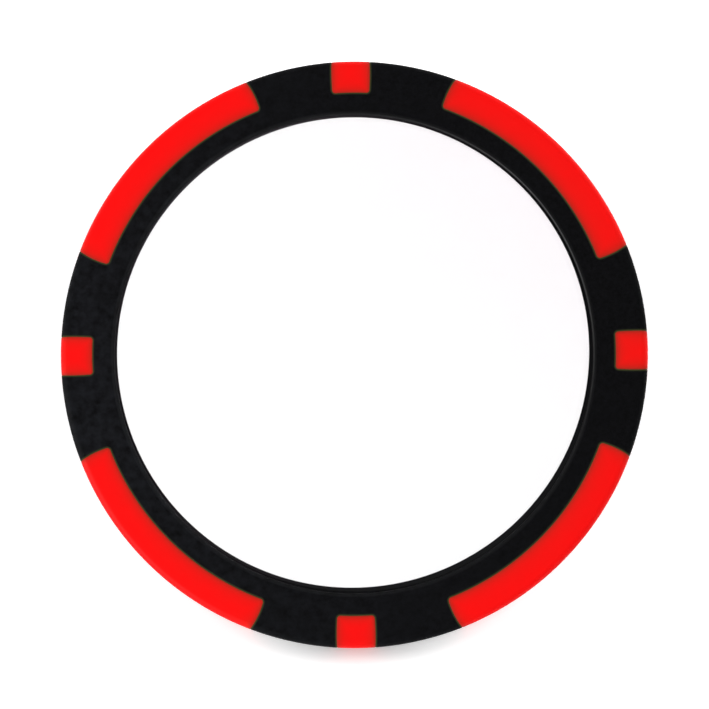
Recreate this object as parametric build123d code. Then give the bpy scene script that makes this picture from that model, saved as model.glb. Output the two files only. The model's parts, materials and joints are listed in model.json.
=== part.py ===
from build123d import *
import math
import os

# Golf ball marker of the poker-chip type, as its separate pieces.
# Millimetres. The chip lies flat: +Z comes out of its front face, and the origin is the centre of
# the plane that its back face rests on. One edge spot points along each of +X, +Y, -X and -Y.

# ---- driving dimensions -------------------------------------------------------------------------
chip_diameter = 40.0
chip_thickness = 3.3
rim_round = 0.5             # rounding of both outer edges

recess_diameter = 32.5      # shallow round recess for the label, the same in both faces
recess_depth = 0.25
recess_lip_round = 0.15     # rounding of the recess mouth

spot_depth = 2.21           # how far each edge spot reaches in from the rim
spot_corner_round = 0.22    # rounding of a spot's two inner corners
long_spot_inner_half_angle = 24.50    # degrees, at the spot's inner edge
long_spot_rim_half_angle = 23.90      # degrees, at the rim
long_spot_side_bulge = 0.11
short_spot_inner_half_angle = 4.05
short_spot_rim_half_angle = 3.72
short_spot_side_bulge = 0.035

slug_diameter = 28.0
slug_thickness = 1.7
slug_edge_round = 0.25

carrier_wall = 1.6          # radial thickness of the hidden ring that joins the spots
carrier_lip_reach = 0.8     # how far its two lips reach in over the slug
carrier_lip_thickness = 0.2
long_spoke_width = 6.0
short_spoke_width = 1.6

label_diameter = 32.04
adhesive_thickness = 0.03
film_thickness = 0.10
laminate_thickness = 0.05
front_label_shift = (-0.055, 0.11)    # the labels are stuck on a little off centre
back_label_shift = (0.06, -0.09)

# ---- derived dimensions -------------------------------------------------------------------------
chip_radius = chip_diameter / 2
recess_radius = recess_diameter / 2
slug_radius = slug_diameter / 2
label_radius = label_diameter / 2
spot_inner_radius = chip_radius - spot_depth
carrier_radius = slug_radius + carrier_wall
mid_height = chip_thickness / 2
slug_bottom = mid_height - slug_thickness / 2
slug_top = mid_height + slug_thickness / 2
front_recess_floor = chip_thickness - recess_depth
past_rim = chip_radius + 1.0          # cutting shapes run on to here, clear of the rim


def polar(radius, angle):
    """Point at a radius and an angle in degrees from +X."""
    return (radius * math.cos(math.radians(angle)), radius * math.sin(math.radians(angle)))


def disc(radius, thickness, bottom, centre=(0, 0)):
    """Plain round disc standing on the height bottom."""
    return Pos(centre[0], centre[1], bottom) * Cylinder(
        radius, thickness, align=(Align.CENTER, Align.CENTER, Align.MIN)
    )


def chip_envelope():
    """The whole chip as one solid: a round disc, rounded at the rim, with a recess in each face."""
    chip = disc(chip_radius, chip_thickness, 0)
    chip = fillet(chip.edges().filter_by(GeomType.CIRCLE), rim_round)
    chip -= disc(recess_radius, recess_depth, front_recess_floor)
    chip -= disc(recess_radius, recess_depth, 0)
    mouths = [
        edge
        for edge in chip.edges().filter_by(GeomType.CIRCLE)
        if abs(edge.radius - recess_radius) < 0.01
        and min(abs(edge.center().Z), abs(edge.center().Z - chip_thickness)) < 0.01
    ]
    return fillet(mouths, recess_lip_round)


def spot_outline(inner_half_angle, rim_half_angle, side_bulge):
    """Outline of the spot on +X: an inner arc, two slightly bulging sides, and open past the rim."""
    inner_left = polar(spot_inner_radius, inner_half_angle)
    inner_right = polar(spot_inner_radius, -inner_half_angle)
    rim_left = polar(chip_radius, rim_half_angle)
    rim_right = polar(chip_radius, -rim_half_angle)
    past_left = polar(past_rim, rim_half_angle)
    past_right = polar(past_rim, -rim_half_angle)
    outline = [
        ThreePointArc(inner_right, (spot_inner_radius, 0), inner_left),
        SagittaArc(inner_left, rim_left, side_bulge),
        Line(rim_left, past_left),
        ThreePointArc(past_left, (past_rim, 0), past_right),
        Line(past_right, rim_right),
        SagittaArc(rim_right, inner_right, side_bulge),
    ]
    face = make_face(outline)
    corners = [
        vertex
        for vertex in face.vertices()
        if abs(math.hypot(vertex.X, vertex.Y) - spot_inner_radius) < 0.01
    ]
    return fillet(corners, spot_corner_round)


def all_spot_columns():
    """Eight upright columns with the spots' outlines: four short on the axes, four long between."""
    long_face = spot_outline(
        long_spot_inner_half_angle, long_spot_rim_half_angle, long_spot_side_bulge
    )
    short_face = spot_outline(
        short_spot_inner_half_angle, short_spot_rim_half_angle, short_spot_side_bulge
    )
    columns = []
    for quarter in range(4):
        for face, start in ((short_face, 0), (long_face, 45)):
            turned = Rot(0, 0, start + 90 * quarter) * face
            columns.append(extrude(turned, chip_thickness))
    return columns


def spot_carrier():
    """Hidden ring round the slug with two thin lips over its rim, and a spoke out to each spot."""
    ring = disc(carrier_radius, slug_thickness + 2 * carrier_lip_thickness,
                slug_bottom - carrier_lip_thickness)
    ring -= disc(slug_radius - carrier_lip_reach, chip_thickness, 0)
    spoke_start = carrier_radius - carrier_wall / 2
    spoke_length = spot_inner_radius + spot_depth / 2 - spoke_start
    for quarter in range(4):
        for width, start in ((short_spoke_width, 0), (long_spoke_width, 45)):
            spoke = Pos(spoke_start + spoke_length / 2, 0, mid_height) * Box(
                spoke_length, width, slug_thickness
            )
            ring += Rot(0, 0, start + 90 * quarter) * spoke
    return ring


def make_slug():
    """Flat steel disc in the middle of the chip, with its edges rounded by tumbling."""
    slug = disc(slug_radius, slug_thickness, slug_bottom)
    return fillet(slug.edges().filter_by(GeomType.CIRCLE), slug_edge_round)


def label_layers(side, shift, recess_floor, outward):
    """Adhesive, printed-face film and clear laminate, stacked outward from a recess floor."""
    layers = {}
    height = recess_floor
    for layer, thickness in (
        ("adhesive", adhesive_thickness),
        ("film", film_thickness),
        ("laminate", laminate_thickness),
    ):
        bottom = min(height, height + outward * thickness)
        layers[f"{side}_label_{layer}"] = disc(label_radius, thickness, bottom, shift)
        height += outward * thickness
    return layers


envelope = chip_envelope()
slug = make_slug()
spots = spot_carrier()
for column in all_spot_columns():
    spots += column
spots = (spots & envelope) - slug
body = envelope - spots - slug

pieces = {
    "body_moulding": body,
    "edge_spot_moulding": spots,
    "weight_slug": slug,
}
pieces.update(label_layers("front", front_label_shift, front_recess_floor, 1))
pieces.update(label_layers("back", back_label_shift, recess_depth, -1))

os.makedirs("parts", exist_ok=True)
for name, piece in pieces.items():
    export_step(piece, f"parts/{name}.step")
    print(name, round(piece.volume, 3), "mm3", len(piece.solids()), "solid(s)")
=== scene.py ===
import json
import math

import bpy
import numpy as np
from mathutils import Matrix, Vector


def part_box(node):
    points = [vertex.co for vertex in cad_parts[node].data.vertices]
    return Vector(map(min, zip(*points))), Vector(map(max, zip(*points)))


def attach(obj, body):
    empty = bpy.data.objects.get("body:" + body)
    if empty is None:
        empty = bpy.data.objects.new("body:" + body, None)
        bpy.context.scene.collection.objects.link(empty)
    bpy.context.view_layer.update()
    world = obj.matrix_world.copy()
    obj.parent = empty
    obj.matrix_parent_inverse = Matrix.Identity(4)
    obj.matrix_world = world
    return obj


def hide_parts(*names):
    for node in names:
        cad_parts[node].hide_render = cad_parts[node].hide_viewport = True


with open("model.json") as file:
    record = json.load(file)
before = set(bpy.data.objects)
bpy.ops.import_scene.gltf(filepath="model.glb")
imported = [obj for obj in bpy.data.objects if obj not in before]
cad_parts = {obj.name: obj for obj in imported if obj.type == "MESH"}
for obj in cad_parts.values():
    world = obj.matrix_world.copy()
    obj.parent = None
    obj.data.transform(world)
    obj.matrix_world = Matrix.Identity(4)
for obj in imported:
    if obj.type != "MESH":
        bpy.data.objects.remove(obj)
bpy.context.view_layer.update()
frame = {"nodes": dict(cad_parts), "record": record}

# A poker-chip golf ball marker lying flat on a light table. Metres; the chip's axis is Z.
# Two-shot plastic chip (black body, red edge spots), steel slug inside, a round label on each face.

MM = 0.001

# ---- sizes, from the frame where it has them ------------------------------------------------------
rim_mount = next(m for m in frame["record"]["mounts"] if m["name"] == "rim")
CHIP_RADIUS = rim_mount["dims"]["r_mm"] * MM
CHIP_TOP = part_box("body_moulding")[1].z
RIM_ROUND = (CHIP_TOP - rim_mount["dims"]["length_mm"] * MM) / 2
MID_HEIGHT = CHIP_TOP / 2

RECESS_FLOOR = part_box("front_label_adhesive")[0].z
RECESS_RADIUS = 16.25 * MM
LIP_ROUND = 0.15 * MM

SPOT_INNER_RADIUS = CHIP_RADIUS - 2.21 * MM
SPOT_CORNER_ROUND = 0.22 * MM
# inner half angle, rim half angle (radians) and side bulge (metres) of each kind of spot
LONG_SPOT = (math.radians(24.50), math.radians(23.90), 0.11 * MM)
SHORT_SPOT = (math.radians(4.05), math.radians(3.72), 0.035 * MM)
QUARTER = math.pi / 2        # of a turn: the spots repeat four times round
EIGHTH = math.pi / 4
MID_GAP = (EIGHTH - LONG_SPOT[0] + SHORT_SPOT[0]) / 2    # midway between a short and a long spot

SEAM_DEPTH = 0.02 * MM       # fine groove where the two plastics meet
SEAM_WIDTH = 0.035 * MM
PARTING_HEIGHT = 0.010 * MM  # mould parting line round the middle of the rim
PARTING_WIDTH = 0.05 * MM

GAP_COLUMNS = 28             # grid columns over each black stretch between spots
LONG_COLUMNS = 80
SHORT_COLUMNS = 20
SIDE_COLUMNS = 4             # down each side wall of a spot
SHARP_ANGLE = math.radians(40)


# ---- mesh helpers ---------------------------------------------------------------------------------
def squeezed(count, squeeze=0.88):
    """count + 1 values from 0 to 1, crowded towards both ends: q minus squeeze * sin(2 pi q) / 2 pi."""
    q = np.linspace(0, 1, count + 1)
    return q - squeeze * np.sin(2 * math.pi * q) / (2 * math.pi)


def eased(count, power=2.0):
    """count values that leave 0 slowly and reach 1: q to a power, without the first point, 0."""
    return np.linspace(0, 1, count + 1)[1:] ** power


def grid_faces(rows, columns, closed_columns):
    """Four-cornered faces of a rows x columns grid of points, joined round in the columns or not."""
    index = np.arange(rows * columns).reshape(rows, columns)
    after = np.roll(index, -1, axis=1) if closed_columns else index[:, 1:]
    here = index if closed_columns else index[:, :-1]
    return np.stack([here[:-1], here[1:], after[1:], after[:-1]], axis=-1).reshape(-1, 4)


def welded(points, quads, tolerance=1e-8):
    """Points that coincide become one, and a quad that loses a corner becomes a triangle or goes."""
    keys = np.round(points / tolerance).astype(np.int64)
    _, first, inverse = np.unique(keys, axis=0, return_index=True, return_inverse=True)
    quads = inverse.reshape(-1)[quads]
    same_as_next = quads == np.roll(quads, -1, axis=1)
    whole = quads[same_as_next.sum(1) == 0]
    pinched = same_as_next.sum(1) == 1
    keep = ~same_as_next[pinched]
    corners = quads[pinched][keep].reshape(-1, 3)
    distinct = (corners[:, 0] != corners[:, 1]) & (corners[:, 1] != corners[:, 2])
    distinct &= corners[:, 0] != corners[:, 2]
    return points[first], whole.tolist() + corners[distinct].tolist()


def mesh_object(name, points, quads):
    """A Blender object with its place in its mesh, smooth except across edges sharper than SHARP_ANGLE."""
    points, faces = welded(points, quads)
    mesh = bpy.data.meshes.new(name)
    mesh.from_pydata(points.tolist(), [], faces)
    mesh.validate()
    mesh.shade_smooth()
    mesh.set_sharp_from_angle(angle=SHARP_ANGLE)
    made = bpy.data.objects.new(name, mesh)
    bpy.context.scene.collection.objects.link(made)
    return made


def points_of(radius, angle, height):
    """Cylinder coordinates, as arrays of one shape, to a list of XYZ points."""
    return np.stack(
        np.broadcast_arrays(radius * np.cos(angle), radius * np.sin(angle), height), axis=-1
    ).reshape(-1, 3)


# ---- the shape of the edge spots, seen along the axis -----------------------------------------------
def half_angle(spot, radius):
    """Half the angle a spot spans at a radius: straight from its inner to its rim value, plus a bulge.

    The bulge is a parabola across the spot's depth, in metres of arc. Nearer the middle than the
    spot's inner edge the value at that edge goes on.
    """
    inner, rim, bulge = spot
    t = np.clip((radius - SPOT_INNER_RADIUS) / (CHIP_RADIUS - SPOT_INNER_RADIUS), 0, 1)
    return inner + (rim - inner) * t + 4 * bulge * t * (1 - t) / CHIP_RADIUS


def nearest_spot(radius, angle):
    """Centre angle of the nearest spot, its half angle at that radius, and the side of it (-1 or 1)."""
    turned = np.mod(angle, QUARTER)
    long_one = (turned > MID_GAP) & (turned < QUARTER - MID_GAP)
    quarter_start = angle - turned
    centre = np.where(
        long_one, quarter_start + EIGHTH, quarter_start + np.where(turned > EIGHTH, QUARTER, 0)
    )
    half = np.where(long_one, half_angle(LONG_SPOT, radius), half_angle(SHORT_SPOT, radius))
    return centre, half, np.where(angle < centre, -1.0, 1.0)


def corner_arc(x):
    """How far a quarter-round corner has drawn in at a distance x along the side from the sharp corner."""
    inside = np.clip(SPOT_CORNER_ROUND - x, 0, SPOT_CORNER_ROUND)
    return SPOT_CORNER_ROUND - np.sqrt(SPOT_CORNER_ROUND**2 - inside**2)


def with_round_corners(radius, angle):
    """Moves points so that lines along a spot's sharp outline follow its rounded inner corners.

    u and v are the distances into the spot from its side and from its inner edge. Each gets the
    corner's own draw-in at the other's value, fading to nothing half a millimetre away.
    """
    reach = 0.5 * MM
    draw_in = SPOT_CORNER_ROUND * (1 - math.sqrt(0.5))
    centre, half, side = nearest_spot(radius, angle)
    u = (half - np.abs(angle - centre)) * radius
    v = radius - SPOT_INNER_RADIUS

    def fade(x):
        return np.clip(1 - (x / reach) ** 2, 0, 1) ** 2

    def shift(x):
        return np.where(x < 0, draw_in * fade(x), corner_arc(x + draw_in * fade(x)))

    new_u = u + shift(v) * fade(u)
    new_radius = radius + shift(u) * fade(v)
    _, new_half, _ = nearest_spot(new_radius, angle)
    new_angle = centre + side * (new_half - new_u / np.maximum(new_radius, 1e-9))
    near = (np.abs(u) < reach) & (np.abs(v) < reach)
    return np.where(near, new_radius, radius), np.where(near, new_angle, angle)


def seam_distance(radius, angle):
    """Distance from the nearest spot's rounded outline, seen along the axis: negative inside a spot."""
    centre, half, _ = nearest_spot(radius, angle)
    a = SPOT_CORNER_ROUND - (half - np.abs(angle - centre)) * radius
    b = SPOT_CORNER_ROUND - (radius - SPOT_INNER_RADIUS)
    outside = np.hypot(np.maximum(a, 0), np.maximum(b, 0))
    return outside + np.minimum(np.maximum(a, b), 0) - SPOT_CORNER_ROUND


# ---- the chip's section, from the middle of the front face out round the rim to the back ------------
def straight(start, end, steps):
    """Points from start to end at the shares in steps, with the normal on the left of the way back."""
    start, end = np.array(start), np.array(end)
    along = (end - start) / np.linalg.norm(end - start)
    places = start + steps[:, None] * (end - start)
    return np.column_stack([places, np.full(len(steps), -along[1]), np.full(len(steps), along[0])])


def rounding(centre, size, first, last, count):
    """Points of an arc about centre, from angle first to last in degrees, with the normal outward."""
    a = np.radians(np.linspace(first, last, count + 1)[1:])
    normal = np.column_stack([np.cos(a), np.sin(a)])
    return np.column_stack([np.array(centre) + size * normal, normal])


def front_half_section():
    """Rows of radius, height, normal radius part and normal height part, down to the rim's middle.

    The section runs over the recess floor, up the recess wall, round the lip, over the flat ring,
    round the rim's rounding and down to half height.
    """
    flat_end = CHIP_RADIUS - RIM_ROUND
    lip_end = RECESS_RADIUS + LIP_ROUND
    lip_foot = (RECESS_RADIUS, CHIP_TOP - LIP_ROUND)
    floor_steps = np.array([0, 0.4, 0.8, 0.94, 0.98, 1])
    toward_spot = 1 - (1 - np.linspace(0, 1, 11)[1:]) ** 2
    toward_middle = 1 - (1 - np.linspace(0, 1, 9)[1:]) ** 2.6
    floor = straight((0, RECESS_FLOOR), (RECESS_RADIUS, RECESS_FLOOR), floor_steps)
    wall = straight((RECESS_RADIUS, RECESS_FLOOR), lip_foot, np.array([0.5, 1]))
    lip = rounding((lip_end, CHIP_TOP - LIP_ROUND), LIP_ROUND, 180, 90, 6)
    ring = straight((lip_end, CHIP_TOP), (SPOT_INNER_RADIUS, CHIP_TOP), toward_spot)
    spot_ring = straight((SPOT_INNER_RADIUS, CHIP_TOP), (flat_end, CHIP_TOP), eased(16))
    edge = rounding((flat_end, CHIP_TOP - RIM_ROUND), RIM_ROUND, 90, 0, 8)
    side = straight((CHIP_RADIUS, CHIP_TOP - RIM_ROUND), (CHIP_RADIUS, MID_HEIGHT), toward_middle)
    spot_row = len(floor) + len(wall) + len(lip) + len(ring) - 1
    return np.concatenate([floor, wall, lip, ring, spot_ring, edge, side]), spot_row


def whole_section():
    """The front half section and its mirror image, and the two rows where the spots' inner edge lies.

    The parting line stands out of the rim's middle as a bell curve of the height.
    """
    front, spot_row = front_half_section()
    back = front[-2::-1] * np.array([1, 1, 1, -1])
    back[:, 1] = 2 * MID_HEIGHT - back[:, 1]
    section = np.concatenate([front, back])
    bell = np.exp(-(((section[:, 1] - MID_HEIGHT) / PARTING_WIDTH) ** 2))
    on_rim = section[:, 0] > CHIP_RADIUS - 1e-9
    section[:, 0] += PARTING_HEIGHT * bell * on_rim
    return section, spot_row, len(section) - 1 - spot_row


SECTION, FRONT_SPOT_ROW, BACK_SPOT_ROW = whole_section()
SPOT_ROWS = slice(FRONT_SPOT_ROW, BACK_SPOT_ROW + 1)
WALL_ROWS = np.zeros((len(SECTION), 1), bool)       # rows where a notch has its own walls
WALL_ROWS[FRONT_SPOT_ROW + 1 : BACK_SPOT_ROW] = True


def notch_heights():
    """Height on a notch's inner wall for each row: it falls evenly from the front seam to the back one."""
    top, bottom = CHIP_TOP - SEAM_DEPTH, SEAM_DEPTH
    share = (np.arange(len(SECTION)) - FRONT_SPOT_ROW) / (BACK_SPOT_ROW - FRONT_SPOT_ROW)
    return top + (bottom - top) * np.clip(share, 0, 1)


NOTCH_HEIGHT = notch_heights()


def placed(radius, angle, height, on_skin):
    """Points of part of a chip grid, with the spots' corners rounded and the seam groove let in.

    The groove is a bell curve of the distance from the seam, sunk along the section's normal.
    on_skin is 1 on the outer skin and 0 on the walls inside, which have no groove.
    """
    radius, angle = with_round_corners(radius, angle)
    sink = SEAM_DEPTH * np.exp(-((seam_distance(radius, angle) / SEAM_WIDTH) ** 2)) * on_skin
    radius = radius - sink * SECTION[:, 2:3]
    height = height - sink * SECTION[:, 3:4]
    return radius, angle, height


def skin_columns(left, right, shares):
    """Columns of the outer skin between two edge angles that change with the radius."""
    radius = SECTION[:, :1] + 0 * shares
    height = SECTION[:, 1:2] + 0 * shares
    return placed(radius, left[:, None] + (right - left)[:, None] * shares, height, 1.0)


def notch_columns(spot, centre, shares):
    """Columns across a notch: the skin up to the spot's inner edge, then the notch's inner wall."""
    radius = np.minimum(SECTION[:, :1], SPOT_INNER_RADIUS) + 0 * shares
    height = np.where(WALL_ROWS, NOTCH_HEIGHT[:, None], SECTION[:, 1:2]) + 0 * shares
    angle = centre + half_angle(spot, SPOT_INNER_RADIUS) * (2 * shares - 1) + 0 * radius
    return placed(radius, angle, height, np.where(WALL_ROWS, 0.0, 1.0))


def side_columns(spot, centre, side, shares):
    """Columns across a notch's side wall, from the skin at share 0 to the notch's inner wall at 1."""
    inward = np.where(WALL_ROWS, shares, 0.0)
    radius = SECTION[:, :1] + inward * (SPOT_INNER_RADIUS - SECTION[:, :1])
    height = SECTION[:, 1:2] + inward * (NOTCH_HEIGHT[:, None] - SECTION[:, 1:2])
    angle = centre + side * half_angle(spot, radius)
    return placed(radius, angle, height, (1 - inward) ** 8)


def spot_at(step):
    """Kind, centre angle and column count of the spot that is step eighths of a turn round."""
    if step % 2 == 1:
        return LONG_SPOT, step * EIGHTH, LONG_COLUMNS
    return SHORT_SPOT, step * EIGHTH, SHORT_COLUMNS


def joined(blocks):
    """Several blocks of columns side by side, as one grid of points with its row and column counts."""
    radius, angle, height = (np.concatenate(part, axis=1) for part in zip(*blocks))
    return points_of(radius, angle, height), radius.shape[0], radius.shape[1]


def body_surface():
    """The black moulding: the chip's section carried round its axis, with a notch for each edge spot."""
    inward = np.linspace(0, 1, SIDE_COLUMNS + 1)
    blocks = []
    for step in range(8):
        spot, centre, count = spot_at(step)
        next_spot, next_centre, _ = spot_at(step + 1)
        blocks.append(side_columns(spot, centre, -1, inward[:-1]))
        blocks.append(notch_columns(spot, centre, squeezed(count)))
        blocks.append(side_columns(spot, centre, 1, inward[-2::-1]))
        left = centre + half_angle(spot, SECTION[:, 0])
        right = next_centre - half_angle(next_spot, SECTION[:, 0])
        blocks.append(skin_columns(left, right, squeezed(GAP_COLUMNS)[1:-1]))
    points, rows, columns = joined(blocks)
    return points, grid_faces(rows, columns, True)


def spot_surface(step):
    """One red edge spot: the skin between its sides, its two side walls and its inner wall, closed."""
    spot, centre, count = spot_at(step)
    inward = np.linspace(0, 1, SIDE_COLUMNS + 1)
    half = half_angle(spot, SECTION[:, 0])
    blocks = [
        skin_columns(centre - half, centre + half, squeezed(count)),
        side_columns(spot, centre, 1, inward[1:-1]),
        notch_columns(spot, centre, squeezed(count)[::-1]),
        side_columns(spot, centre, -1, inward[-2:0:-1]),
    ]
    blocks = [[part[SPOT_ROWS] for part in block] for block in blocks]
    points, rows, columns = joined(blocks)
    return points, grid_faces(rows, columns, True)


def edge_spot_surfaces():
    """All eight edge spots, one after the other."""
    all_points, all_quads, used = [], [], 0
    for step in range(8):
        points, quads = spot_surface(step)
        all_points.append(points)
        all_quads.append(quads + used)
        used += len(points)
    return np.concatenate(all_points), np.concatenate(all_quads)


# ---- what is hidden inside: the slug's seat, and the ring and spokes that join the red spots --------
SLUG_LOW, SLUG_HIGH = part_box("weight_slug")
SLUG_RADIUS = (SLUG_HIGH.x - SLUG_LOW.x) / 2
CARRIER_WALL = 1.6 * MM
CARRIER_RADIUS = SLUG_RADIUS + CARRIER_WALL
CARRIER_LIP_RADIUS = SLUG_RADIUS - 0.8 * MM
CARRIER_LIP_THICKNESS = 0.2 * MM
CARRIER_TOP = SLUG_HIGH.z + CARRIER_LIP_THICKNESS
CARRIER_BOTTOM = SLUG_LOW.z - CARRIER_LIP_THICKNESS
LONG_SPOKE_WIDTH = 6.0 * MM
SHORT_SPOKE_WIDTH = 1.6 * MM
SPOKE_INTO_SPOT = 1.0 * MM
TURNED_COLUMNS = 144


def turned_surface(section, closed_section):
    """A section of radius and height carried round the Z axis, its last row joined to its first or not."""
    section = np.array(section + section[:1] if closed_section else section)
    angle = np.linspace(0, 2 * math.pi, TURNED_COLUMNS, endpoint=False)[None, :]
    points = points_of(section[:, :1] + 0 * angle, angle, section[:, 1:2])
    return points, grid_faces(len(section), TURNED_COLUMNS, True)


def carrier_outside():
    """The carrier ring's section over its outside, from the front lip's inner edge to the back lip's."""
    return [
        (CARRIER_LIP_RADIUS, SLUG_HIGH.z),
        (CARRIER_LIP_RADIUS, CARRIER_TOP),
        (CARRIER_RADIUS, CARRIER_TOP),
        (CARRIER_RADIUS, CARRIER_BOTTOM),
        (CARRIER_LIP_RADIUS, CARRIER_BOTTOM),
        (CARRIER_LIP_RADIUS, SLUG_LOW.z),
    ]


def slug_seat_surface():
    """The room that the slug and the carrier ring take up inside the body, as one turned solid."""
    return turned_surface([(0, SLUG_HIGH.z)] + carrier_outside() + [(0, SLUG_LOW.z)], False)


def carrier_ring_surface():
    """The ring round the slug: a channel section, open inwards, whose two lips lie over its rim."""
    front_corner = (SLUG_RADIUS, SLUG_HIGH.z)
    back_corner = (SLUG_RADIUS, SLUG_LOW.z)
    return turned_surface([front_corner] + carrier_outside() + [back_corner], True)


def spoke_surfaces():
    """Eight straight bars from inside the carrier ring to inside the spots, as four-sided prisms.

    Each has four rows of points: its start drawn together to one point, its two end outlines, and
    its far end drawn together.
    """
    start = CARRIER_RADIUS - CARRIER_WALL / 2
    end = SPOT_INNER_RADIUS + SPOKE_INTO_SPOT
    open_row = np.array([0.0, 1.0, 1.0, 0.0])[:, None]
    all_points, all_quads = [], []
    for step in range(8):
        half_width = (LONG_SPOKE_WIDTH if step % 2 == 1 else SHORT_SPOKE_WIDTH) / 2
        across = half_width * np.array([1, -1, -1, 1])
        up = np.array([SLUG_LOW.z, SLUG_LOW.z, SLUG_HIGH.z, SLUG_HIGH.z])
        along = np.array([start, start, end, end])[:, None] + 0 * across
        across = open_row * across
        up = MID_HEIGHT + open_row * (up - MID_HEIGHT)
        c, s = math.cos(step * EIGHTH), math.sin(step * EIGHTH)
        points = np.stack([along * c - across * s, along * s + across * c, up], axis=-1).reshape(-1, 3)
        all_points.append(points)
        all_quads.append(grid_faces(4, 4, True) + len(points) * step)
    return np.concatenate(all_points), np.concatenate(all_quads)


def combined(target, tool, operation):
    """The target after an exact boolean with the tool, which is then removed."""
    step = target.modifiers.new(operation, "BOOLEAN")
    step.operation = operation
    step.solver = "EXACT"
    step.object = tool
    evaluated = target.evaluated_get(bpy.context.evaluated_depsgraph_get())
    mesh = bpy.data.meshes.new_from_object(evaluated)
    target.modifiers.clear()
    target.data = mesh
    mesh.name = target.name
    bpy.data.objects.remove(tool)


def finish_moulding(moulding):
    """Smooth shading again after the booleans, and the distance to the seam at every point."""
    mesh = moulding.data
    mesh.shade_smooth()
    mesh.set_sharp_from_angle(angle=SHARP_ANGLE)
    place = np.empty(len(mesh.vertices) * 3)
    mesh.vertices.foreach_get("co", place)
    x, y, _ = place.reshape(-1, 3).T
    distance = seam_distance(np.hypot(x, y), np.arctan2(y, x))
    seam = mesh.attributes.new("seam", "FLOAT", "POINT")
    seam.data.foreach_set("value", distance.astype(np.float32))


# ---- the labels ------------------------------------------------------------------------------------
LABEL_OVAL = 0.045 * MM                 # the film relaxed a little oval when it was laid down
LABEL_OVAL_ANGLE = math.radians(27)
LABEL_RIPPLE = 0.003 * MM
LABEL_THICKNESS = 0.18 * MM
FILM_GAP = 0.002 * MM                   # keeps the clear film's underside off the white one
LABEL_COLUMNS = 256


def label_section(radius, bottom, top, edge_round):
    """Half the section of a thin disc: over its upper side, round its edge, and back below."""
    shares = np.array([0, 0.15, 0.3, 0.45, 0.6, 0.72, 0.82, 0.9, 0.95, 0.98])
    flat = shares * (radius - edge_round)
    bend = np.radians(np.linspace(90, 0, 6))
    edge_radius = radius - edge_round + edge_round * np.cos(bend)
    edge_height = top + edge_round * (np.sin(bend) - 1)
    upper = np.column_stack([np.append(flat, edge_radius), np.append(0 * flat + top, edge_height)])
    lower = upper[::-1] * np.array([1, -1]) + np.array([0, top + bottom])
    return np.concatenate([upper, lower])


def rippled(points, outward):
    """Points of a label, lifted by its ripple.

    The ripple is a third of the sum of three sines across the disc, the last one weaker. It grows
    from nothing at the recess floor to its full height at the label's outer face.
    """
    x, y = points[:, 0] / MM, points[:, 1] / MM
    waves = np.sin(0.9 * x + 0.4 * y) + np.sin(1.1 * y - 0.5 * x + 1.7)
    waves += 0.6 * np.sin(1.9 * x + 1.5 * y + 0.6)
    floor = RECESS_FLOOR if outward > 0 else 2 * MID_HEIGHT - RECESS_FLOOR
    share = np.abs(points[:, 2] - floor) / LABEL_THICKNESS
    points[:, 2] += LABEL_RIPPLE * waves / 3 * outward * share
    return points


def label_surface(node, outward, edge_round, inset, lift):
    """One layer of a label: a thin disc, slightly oval, with its cut edge rounded, following a ripple.

    The radius swells and shrinks twice round, as a cosine of twice the angle. inset makes the disc
    smaller than the CAD one, and lift leaves a gap under it.
    """
    low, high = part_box(node)
    bottom, top = (low.z + lift, high.z) if outward > 0 else (low.z, high.z - lift)
    radius = (high.x - low.x) / 2 - inset
    section = label_section(radius, bottom, top, edge_round)
    angle = np.linspace(0, 2 * math.pi, LABEL_COLUMNS, endpoint=False)[None, :]
    oval = 1 + LABEL_OVAL / radius * np.cos(2 * (angle - LABEL_OVAL_ANGLE))
    points = points_of(section[:, :1] * oval, angle, section[:, 1:2])
    points[:, :2] += np.array([(low.x + high.x) / 2, (low.y + high.y) / 2])
    return rippled(points, outward), grid_faces(len(section), LABEL_COLUMNS, True)


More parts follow.
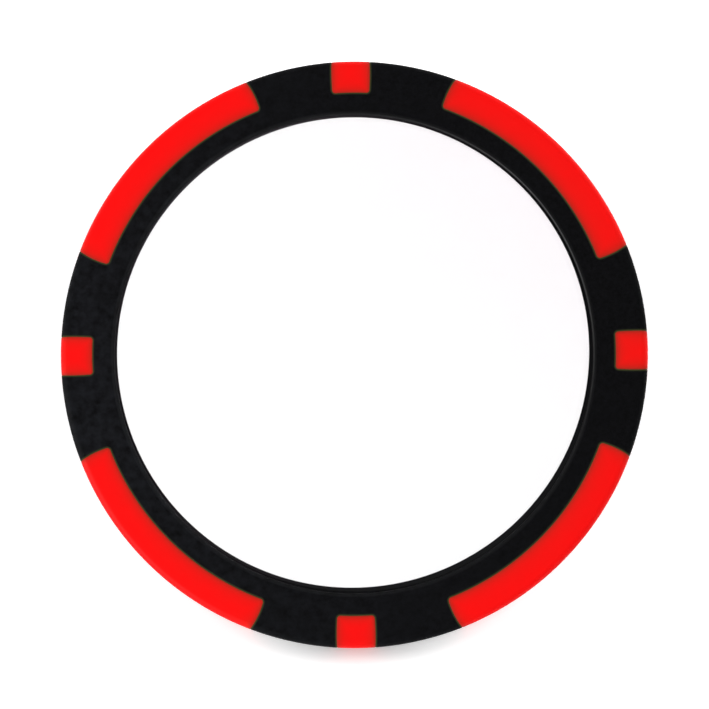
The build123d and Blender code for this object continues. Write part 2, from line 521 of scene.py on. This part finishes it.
# ---- materials -------------------------------------------------------------------------------------
class Nodes:
    """A material's node tree, with a short name for each kind of node that the finishes use."""

    def __init__(self, name):
        self.material = bpy.data.materials.new(name)
        self.material.use_nodes = True
        self.tree = self.material.node_tree
        self.shader = self.tree.nodes["Principled BSDF"]
        self.place = self.add("ShaderNodeTexCoord").outputs["Object"]

    def add(self, kind, settings=None, **inputs):
        """A new node, with its settings and inputs; an input that has only a number is called _number."""
        node = self.tree.nodes.new(kind)
        for setting, value in (settings or {}).items():
            setattr(node, setting, value)
        for socket, value in inputs.items():
            self.put(node, socket, value)
        return node

    def put(self, node, socket, value):
        """Links a value to a socket if it comes from a node, or else sets it there."""
        target = node.inputs[int(socket[1:]) if socket[0] == "_" else socket]
        if isinstance(value, bpy.types.NodeSocket):
            self.tree.links.new(value, target)
        else:
            target.default_value = value

    def finish(self, **inputs):
        """Sets or links the shader's own sockets."""
        for socket, value in inputs.items():
            self.put(self.shader, socket.replace("_", " "), value)

    def noise(self, size, detail=2.0, roughness=0.5, place=None):
        """Noise whose features are about size metres across, from 0 to 1."""
        node = self.add("ShaderNodeTexNoise", Vector=place or self.place, Scale=1 / size,
                        Detail=detail, Roughness=roughness)
        return node.outputs[0]

    def ramp(self, value, low, high, to_low=0.0, to_high=1.0):
        """Value from low..high moved to to_low..to_high, held at the ends."""
        node = self.add("ShaderNodeMapRange", {"clamp": True}, _0=value, _1=low, _2=high,
                        _3=to_low, _4=to_high)
        return node.outputs[0]

    def spread(self, noise, to_low=0.0, to_high=1.0):
        """Noise, which lies mostly between 0.3 and 0.7, spread over to_low..to_high."""
        return self.ramp(noise, 0.3, 0.7, to_low, to_high)

    def math(self, operation, a, b=0.0):
        """One operation on two numbers."""
        return self.add("ShaderNodeMath", {"operation": operation}, _0=a, _1=b).outputs[0]

    def blend(self, share, first, second):
        """Colour that goes from the first to the second as the share goes from 0 to 1."""
        node = self.add("ShaderNodeMix", {"data_type": "RGBA"}, _0=share, _6=first, _7=second)
        return node.outputs[2]

    def bump(self, height, size, strength=1.0):
        """Normal of a relief whose height is size metres from lowest to highest."""
        return self.add("ShaderNodeBump", Height=height, Distance=size, Strength=strength).outputs[0]

    def radius(self):
        """Distance from the chip's axis."""
        flat = self.add("ShaderNodeVectorMath", {"operation": "MULTIPLY"}, _0=self.place, _1=(1, 1, 0))
        length = self.add("ShaderNodeVectorMath", {"operation": "LENGTH"}, _0=flat.outputs["Vector"])
        return length.outputs["Value"]

    def along(self, direction):
        """How far along a direction a point lies from the chip's axis."""
        node = self.add("ShaderNodeVectorMath", {"operation": "DOT_PRODUCT"}, _0=self.place, _1=direction)
        return node.outputs["Value"]

    def attribute(self, name):
        """Value that the mesh holds at each point."""
        return self.add("ShaderNodeAttribute", {"attribute_name": name}).outputs["Fac"]


def black_plastic():
    """Matt black chip composite, with a fine grain and patchy grey mottle, painted lighter towards -X where
    more light falls.

    There is olive flash at the seams, painted light in the shaded narrow side of the gap round the label,
    and the lip round the recess is glossier.
    """
    n = Nodes("black_plastic")
    coal, worn_coal = (0.0022, 0.0022, 0.0023, 1), (0.0049, 0.0049, 0.0057, 1)
    # painted light: a lighter grey that stands in for the light falling on the -X side
    painted_light_grey = (0.0086, 0.0091, 0.0108, 1)
    # painted light: a grey that lightens the gap round the label, which lies in shade
    painted_gap_light_grey = (0.050, 0.043, 0.050, 1)
    flash_olive = (0.034, 0.037, 0.014, 1)
    lip_end = RECESS_RADIUS + LIP_ROUND

    grain = n.noise(0.20 * MM, detail=4.0, roughness=0.65)
    black = n.blend(n.spread(grain), coal, worn_coal)
    patches = n.spread(n.noise(0.5 * MM, detail=3.0))
    # painted light: the patchy mottle turns lighter towards -X, where more light falls
    side = n.ramp(n.along((-0.97, -0.23, 0)), -0.9 * CHIP_RADIUS, 0.9 * CHIP_RADIUS)
    painted_light_black = n.blend(n.math("MULTIPLY", n.math("POWER", side, 1.6), patches), black, painted_light_grey)

    radius = n.radius()
    # painted light in the shaded narrow side of the gap round the label
    in_gap = n.ramp(radius, RECESS_RADIUS - 0.03 * MM, RECESS_RADIUS + 0.03 * MM, 1.0, 0.0)
    narrow_side = n.ramp(n.along((-0.71, 0.71, 0)), -0.9 * RECESS_RADIUS, 0.0)
    painted_gap_light = n.math("POWER", n.math("MULTIPLY", in_gap, narrow_side), 2.5)
    gap_lit_black = n.blend(painted_gap_light, painted_light_black, painted_gap_light_grey)
    flash = n.ramp(n.attribute("seam"), 0.04 * MM, 0.14 * MM, 1.0, 0.0)
    cloud = n.noise(1.4 * MM, detail=2.0)
    lip_gloss = n.ramp(radius, lip_end, lip_end + LIP_ROUND, 0.38, 0.0)
    n.finish(
        Base_Color=n.blend(flash, gap_lit_black, flash_olive),
        Roughness=n.spread(cloud, 0.44, 0.52),
        Specular_IOR_Level=0.02,
        Coat_Weight=lip_gloss,
        Coat_Roughness=0.48,
        Normal=n.bump(grain, 0.006 * MM, 0.6),
    )
    return n.material


def red_plastic():
    """Smooth saturated red plastic, with painted shade: it darkens towards the black round it, as light
    inside the red is lost there.

    The painted shade is the sum of two exponentials of the depth inside the seam, and a little more on the
    +X side, where less light falls.
    """
    n = Nodes("red_plastic")
    red = (0.805, 0.0029, 0.0033, 1)
    # painted shade: the dark red that the spots turn near the black and on the +X side
    painted_shade_red = (0.020, 0.025, 0.013, 1)

    # painted shade near the seam: two exponentials of the depth inside it
    depth = n.math("MINIMUM", n.attribute("seam"), 0.0)
    near = n.math("EXPONENT", n.math("MULTIPLY", depth, 1 / (0.2 * MM)))
    far = n.math("EXPONENT", n.math("MULTIPLY", depth, 1 / (0.7 * MM)))
    painted_shade = n.math("ADD", n.math("MULTIPLY", near, 0.44), n.math("MULTIPLY", far, 0.20))
    # painted shade: a little darker towards +X, where less light falls
    side = n.ramp(n.along((0.96, 0.28, 0)), 0.0, 0.9 * CHIP_RADIUS, 0.0, 0.06)
    painted_shade = n.math("ADD", painted_shade, side)
    mottle = n.spread(n.noise(0.9 * MM, detail=3.0), 0.97, 1.0)
    light = n.math("MULTIPLY", n.math("SUBTRACT", 1.0, painted_shade), mottle)
    grain = n.noise(0.12 * MM, detail=2.0)
    n.finish(
        Base_Color=n.blend(light, painted_shade_red, red),
        Roughness=n.spread(grain, 0.46, 0.54),
        Specular_IOR_Level=0.06,
        Normal=n.bump(grain, 0.003 * MM, 0.35),
    )
    return n.material


def white_film():
    """White vinyl with a fine paper-like tooth and a barely pink cast towards one side."""
    n = Nodes("white_film")
    shaded_white, white = (0.80, 0.79, 0.80, 1), (0.84, 0.835, 0.84, 1)
    pink_white = (0.835, 0.785, 0.815, 1)

    tooth = n.noise(0.14 * MM, detail=3.0, roughness=0.6)
    cast = n.ramp(n.along((0.71, 0.71, 0)), 6 * MM, 16 * MM, 0.0, 0.7)
    plain = n.blend(n.ramp(tooth, 0.25, 0.45), shaded_white, white)
    n.finish(
        Base_Color=n.blend(cast, plain, pink_white),
        Roughness=0.6,
        Specular_IOR_Level=0.25,
        Normal=n.bump(tooth, 0.003 * MM, 0.4),
    )
    return n.material


def clear_film():
    """Clear matt overlaminate: nearly all see-through, with a soft embossed surface."""
    n = Nodes("clear_film")
    emboss = n.noise(0.18 * MM, detail=2.0)
    n.finish(
        Base_Color=(0.8, 0.8, 0.8, 1),
        Roughness=n.spread(emboss, 0.34, 0.44),
        Specular_IOR_Level=0.4,
        Alpha=0.07,
        Normal=n.bump(emboss, 0.002 * MM, 0.5),
    )
    return n.material


def label_glue():
    """Milky pressure-sensitive adhesive, a little uneven."""
    n = Nodes("label_glue")
    thin_glue, thick_glue = (0.62, 0.60, 0.52, 1), (0.74, 0.72, 0.66, 1)
    uneven = n.noise(0.8 * MM, detail=2.0)
    n.finish(
        Base_Color=n.blend(uneven, thin_glue, thick_glue),
        Roughness=0.3,
        Normal=n.bump(uneven, 0.004 * MM, 0.5),
    )
    return n.material


def slug_steel():
    """Tumbled stamped steel: grey metal with fine scratches lying one way and cloudy gloss."""
    n = Nodes("slug_steel")
    dull_steel, bright_steel = (0.43, 0.43, 0.44, 1), (0.56, 0.56, 0.57, 1)
    lie = (0, 0, math.radians(32))

    stretched = n.add("ShaderNodeMapping", Vector=n.place, Scale=(1.0, 14.0, 1.0), Rotation=lie)
    scratches = n.noise(1.2 * MM, detail=4.0, place=stretched.outputs[0])
    cloud = n.noise(2.5 * MM, detail=2.0)
    n.finish(
        Base_Color=n.blend(cloud, dull_steel, bright_steel),
        Metallic=1.0,
        Roughness=n.spread(scratches, 0.26, 0.46),
        Normal=n.bump(scratches, 0.004 * MM, 0.4),
    )
    return n.material


# ---- putting the marker together ---------------------------------------------------------------------
body = mesh_object("chip_body", *body_surface())
combined(body, mesh_object("slug_seat", *slug_seat_surface()), "DIFFERENCE")
combined(body, mesh_object("spoke_room", *spoke_surfaces()), "DIFFERENCE")
finish_moulding(body)
body.data.materials.append(black_plastic())
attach(body, "root")
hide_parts("body_moulding")

spots = mesh_object("edge_spots", *edge_spot_surfaces())
combined(spots, mesh_object("spokes", *spoke_surfaces()), "UNION")
combined(spots, mesh_object("carrier_ring", *carrier_ring_surface()), "UNION")
finish_moulding(spots)
spots.data.materials.append(red_plastic())
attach(spots, "root")
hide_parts("edge_spot_moulding")

slug = frame["nodes"]["weight_slug"]
slug.data.materials.clear()
slug.data.materials.append(slug_steel())

pieces = [body, spots, slug]
LABEL_LAYERS = {
    # layer: material, record slot, edge rounding, inset from the CAD disc's edge, lift off the layer below
    "adhesive": (label_glue(), "label_adhesive", 0.010 * MM, 0.03 * MM, 0.0),
    "film": (white_film(), "label_white", 0.012 * MM, 0.0, 0.0),
    "laminate": (clear_film(), "label_clear", 0.008 * MM, 0.0, FILM_GAP),
}
for face, outward in (("front", 1), ("back", -1)):
    for layer, (material, slot, edge_round, inset, lift) in LABEL_LAYERS.items():
        node = f"{face}_label_{layer}"
        piece = mesh_object(f"{face}_{layer}", *label_surface(node, outward, edge_round, inset, lift))
        piece.data.materials.append(material)
        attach(piece, "root")
        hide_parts(node)
        pieces.append(piece)


# ---- the light table, the lights and the camera ------------------------------------------------------
def light_table():
    """Floor and surround in one: a flat disc that curves up at its edge into a low wall, turned round Z."""
    flat_radius = 1.0
    bend = 0.2
    wall_top = 0.3
    bend_angle = np.radians(np.linspace(-90, 0, 25))
    section = [(radius, 0.0) for radius in (0.0, 0.02, 0.06, 0.2, 0.45, flat_radius)]
    section += [(flat_radius + bend * math.cos(a), bend + bend * math.sin(a)) for a in bend_angle[1:]]
    section += [(flat_radius + bend, wall_top)]
    return turned_surface(section[::-1], False)


def table_white():
    """Matt white acrylic, lit evenly from underneath in the middle and more strongly further out."""
    n = Nodes("table_white")
    n.finish(
        Base_Color=(0.88, 0.88, 0.88, 1),
        Roughness=0.7,
        Specular_IOR_Level=0.2,
        Emission_Color=(1, 1, 1, 1),
        Emission_Strength=n.ramp(n.radius(), 0.3, 1.0, 0.40, 1.0),
    )
    return n.material


table = mesh_object("light_table", *light_table())
table.data.materials.append(table_white())


def lit_group(name, objects):
    """The objects that a light falls on, as a flag on a stand keeps it off the rest."""
    group = bpy.data.collections.new(name)
    for lit in objects:
        group.objects.link(lit)
    return group


lit_table = lit_group("lit_table", [table])
lit_pieces = lit_group("lit_pieces", pieces)


def area_light(name, falls_on, azimuth, elevation, distance, size, power):
    """Soft rectangular light aimed at the chip, from an azimuth (anticlockwise from +X) and elevation.

    Angles are in degrees, and power in watts. It falls only on the objects in the group falls_on.
    """
    a, e = math.radians(azimuth), math.radians(elevation)
    data = bpy.data.lights.new(name, "AREA")
    data.shape = "RECTANGLE"
    data.size, data.size_y = size
    data.energy = power
    light = bpy.data.objects.new(name, data)
    light.location = (
        distance * math.cos(e) * math.cos(a),
        distance * math.cos(e) * math.sin(a),
        distance * math.sin(e),
    )
    light.rotation_euler = (math.pi / 2 - e, 0, a + math.pi / 2)
    light.visible_camera = False
    light.light_linking.receiver_collection = falls_on
    bpy.context.scene.collection.objects.link(light)
    return light


area_light("key", lit_pieces, azimuth=212, elevation=34, distance=0.50, size=(0.36, 0.26), power=3.35)
fill = area_light(
    "fill", lit_pieces, azimuth=44, elevation=34, distance=0.50, size=(0.60, 0.36), power=2.95
)
fill.visible_glossy = False      # polarised: it lights the far side of the rim without a glint
for name, azimuth in (("left_softbox", 154), ("right_softbox", 26)):
    area_light(name, lit_table, azimuth, elevation=41, distance=0.55, size=(0.26, 0.32), power=3.0)

world = bpy.data.worlds.new("dim_room")
world.use_nodes = True
room = world.node_tree.nodes["Background"]
room.inputs["Color"].default_value = (1, 1, 1, 1)
room.inputs["Strength"].default_value = 0.02
bpy.context.scene.world = world
bpy.context.scene.view_settings.view_transform = "Standard"

# The camera is held close over the chip, a little to the right of its middle and towards -Y.
camera_data = bpy.data.cameras.new("camera")
camera_data.lens = 124.8
camera_data.clip_start = 0.01
camera = bpy.data.objects.new("camera", camera_data)
camera.location = (4.17 * MM, -7.35 * MM, 170.0 * MM)
camera.rotation_euler = (math.radians(2.4765), math.radians(1.4309), math.radians(-0.5614))
bpy.context.scene.collection.objects.link(camera)
bpy.context.scene.camera = camera
